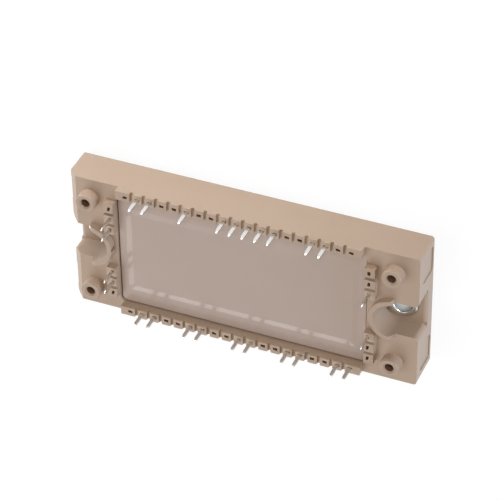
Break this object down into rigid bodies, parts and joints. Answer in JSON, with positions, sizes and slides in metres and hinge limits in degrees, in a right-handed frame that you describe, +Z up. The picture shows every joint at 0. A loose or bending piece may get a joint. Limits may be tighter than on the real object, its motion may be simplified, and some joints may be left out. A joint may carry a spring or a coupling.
{
  "type": "igbt module",
  "caption": "Flat IGBT power module: slotted terminal frame with flat solder pins, sunk lid, board screw bosses and a metal baseplate with screw notches at both ends.",
  "frame": {"origin": "centre of the mounting plane, the underside of the baseplate", "axes": "+Z up out of the baseplate, the way the pins point; +X along the length, away from the bevelled end; +Y toward the terminal row that has five neighbouring pins"},
  "size_m": [0.1076, 0.045, 0.0212],
  "materials": {
    "housing": "moulded glass-filled polyester, fine satin",
    "lid": "moulded polyester, smooth semi-gloss",
    "baseplate": "nickel-plated copper, satin",
    "bush": "nickel-plated brass, bright turned",
    "terminal": "tin-plated copper strip, bright stamped",
    "copper": "bonded bare copper, matt",
    "ceramic": "fired alumina ceramic, smooth",
    "solder": "reflowed tin solder, satin",
    "silicon": "metallised silicon chip, smooth",
    "thermistor": "glazed chip, smooth",
    "bond_wire": "drawn aluminium wire",
    "gel": "clear soft silicone gel",
    "adhesive": "cured silicone adhesive, matt"
  },
  "bodies": {
    "root": {"housing": "housing", "lid": "lid", "baseplate": "baseplate", "adhesive_bead": "adhesive", "silicone_gel": "gel", "bond_wires": "bond_wire", "rectifier_diodes": "silicon", "thermistor": "thermistor", "bush_left": "bush", "solder_left": "solder", "back_copper_left": "copper", "ceramic_left": "ceramic", "circuit_copper_left": "copper", "bush_right": "bush", "solder_right": "solder", "back_copper_right": "copper", "ceramic_right": "ceramic", "circuit_copper_right": "copper", "terminal_back_2": "terminal", "terminal_back_3": "terminal", "terminal_back_6": "terminal", "terminal_back_9": "terminal", "terminal_back_10": "terminal", "terminal_back_11": "terminal", "terminal_back_12": "terminal", "terminal_back_13": "terminal", "terminal_back_16": "terminal", "terminal_back_17": "terminal", "terminal_front_2": "terminal", "terminal_front_3": "terminal", "terminal_front_6": "terminal", "terminal_front_7": "terminal", "terminal_front_10": "terminal", "terminal_front_11": "terminal", "terminal_front_14": "terminal", "terminal_front_15": "terminal", "terminal_front_18": "terminal", "terminal_front_19": "terminal", "terminal_left_2": "terminal", "terminal_left_3": "terminal", "terminal_left_7": "terminal", "terminal_left_8": "terminal", "terminal_right_3": "terminal", "terminal_right_7": "terminal", "igbt_chip_1": "silicon", "freewheel_diode_1": "silicon", "igbt_chip_2": "silicon", "freewheel_diode_2": "silicon", "igbt_chip_3": "silicon", "freewheel_diode_3": "silicon", "igbt_chip_4": "silicon", "freewheel_diode_4": "silicon", "igbt_chip_5": "silicon", "freewheel_diode_5": "silicon", "igbt_chip_6": "silicon", "freewheel_diode_6": "silicon", "igbt_chip_7": "silicon", "freewheel_diode_7": "silicon"}
  },
  "joints": []
}
